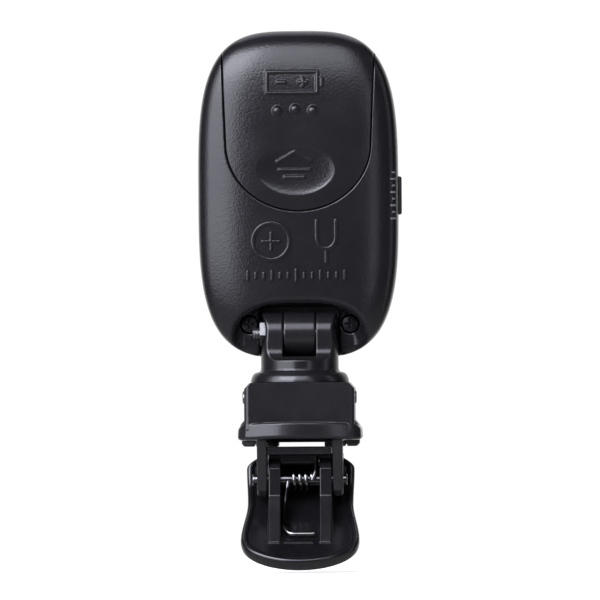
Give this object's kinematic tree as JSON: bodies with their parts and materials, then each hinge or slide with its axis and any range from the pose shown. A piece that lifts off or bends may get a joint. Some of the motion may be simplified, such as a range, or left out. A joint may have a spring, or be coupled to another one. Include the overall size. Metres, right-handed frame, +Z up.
{
  "type": "clip-on tuner",
  "caption": "Clip-on instrument tuner: black display head with sliding battery door and side button, on a tilting and turning neck over a sprung padded clip.",
  "frame": {"origin": "middle of the bounding box's bottom: level with the tail of the clip lever, on the plane of symmetry, under the neck's turning axis", "axes": "+Z up along the neck and the head; +Y the way the display faces and the jaws' mouth opens; +X towards the side button, so the battery door faces -Y"},
  "size_m": [0.034, 0.0287, 0.0898],
  "materials": {
    "grained_plastic": "fine moulded grain, satin black",
    "neck_plastic": "smooth polished black",
    "clip_plastic": "smooth semi-gloss black",
    "rubber": "matte black",
    "bright_steel": "bright zinc plated",
    "black_steel": "blackened",
    "spring_steel": "drawn spring wire",
    "cell_steel": "nickel plated",
    "brass": "thin sheet",
    "board": "solder-masked laminate",
    "chip": "moulded epoxy",
    "lens": "smoked acrylic",
    "lcd": "grey-green display glass",
    "diffuser": "milky white",
    "elastomer": "striped grey",
    "red_wire": "PVC insulation",
    "black_wire": "PVC insulation",
    "button": "satin black"
  },
  "bodies": {
    "clip_base": {"upper_jaw": "clip_plastic", "upper_pad": "rubber", "swivel_pin": "bright_steel", "swivel_washer": "rubber", "pivot_pin": "bright_steel", "torsion_spring": "spring_steel"},
    "lever": {"lower_jaw": "clip_plastic", "lower_pad": "rubber"},
    "neck": {"swivel_neck": "neck_plastic", "hinge_screw": "bright_steel", "hinge_nut": "bright_steel"},
    "head": {"rear_cover": "grained_plastic", "front_cover": "grained_plastic", "display_window": "lens", "lcd_panel": "lcd", "backlight_diffuser": "diffuser", "elastomer_connector": "elastomer", "circuit_board": "board", "board_screw_left": "bright_steel", "board_screw_right": "bright_steel", "tuner_chip": "chip", "quartz_crystal": "cell_steel", "coin_cell": "cell_steel", "battery_contact_negative": "brass", "battery_contact_positive": "brass", "piezo_sensor": "brass", "piezo_wire_red": "red_wire", "piezo_wire_black": "black_wire", "side_switch": "chip", "power_switch": "chip", "case_screw_left": "black_steel", "case_screw_right": "black_steel", "hinge_lug": "neck_plastic"},
    "door": {"battery_door": "grained_plastic"},
    "side_key": {"side_button": "button"},
    "power_key": {"power_button": "button"}
  },
  "joints": [
    {"name": "lever_hinge", "type": "hinge", "parent": "clip_base", "child": "lever", "pos_m": [0, -0.003, 0.015], "axis": [-1, 0, 0], "range_deg": [0, 42], "stiffness_Nm_per_rad": 0.02, "springref_deg": -40.11, "deforming": ["torsion_spring"]},
    {"name": "neck_swivel", "type": "hinge", "parent": "clip_base", "child": "neck", "pos_m": [0, 0, 0.031], "axis": [0, 0, 1], "continuous": true},
    {"name": "head_tilt", "type": "hinge", "parent": "neck", "child": "head", "pos_m": [0, 0, 0.0394], "axis": [1, 0, 0], "range_deg": [0, 95]},
    {"name": "battery_door_slide", "type": "slide", "parent": "head", "child": "door", "axis": [0, 0, 1], "range_m": [0, 0.032]},
    {"name": "side_button_press", "type": "slide", "parent": "head", "child": "side_key", "axis": [-1, 0, 0], "range_m": [0, 0.0004]},
    {"name": "power_button_press", "type": "slide", "parent": "head", "child": "power_key", "axis": [0, -1, 0], "range_m": [0, 0.0005]}
  ]
}
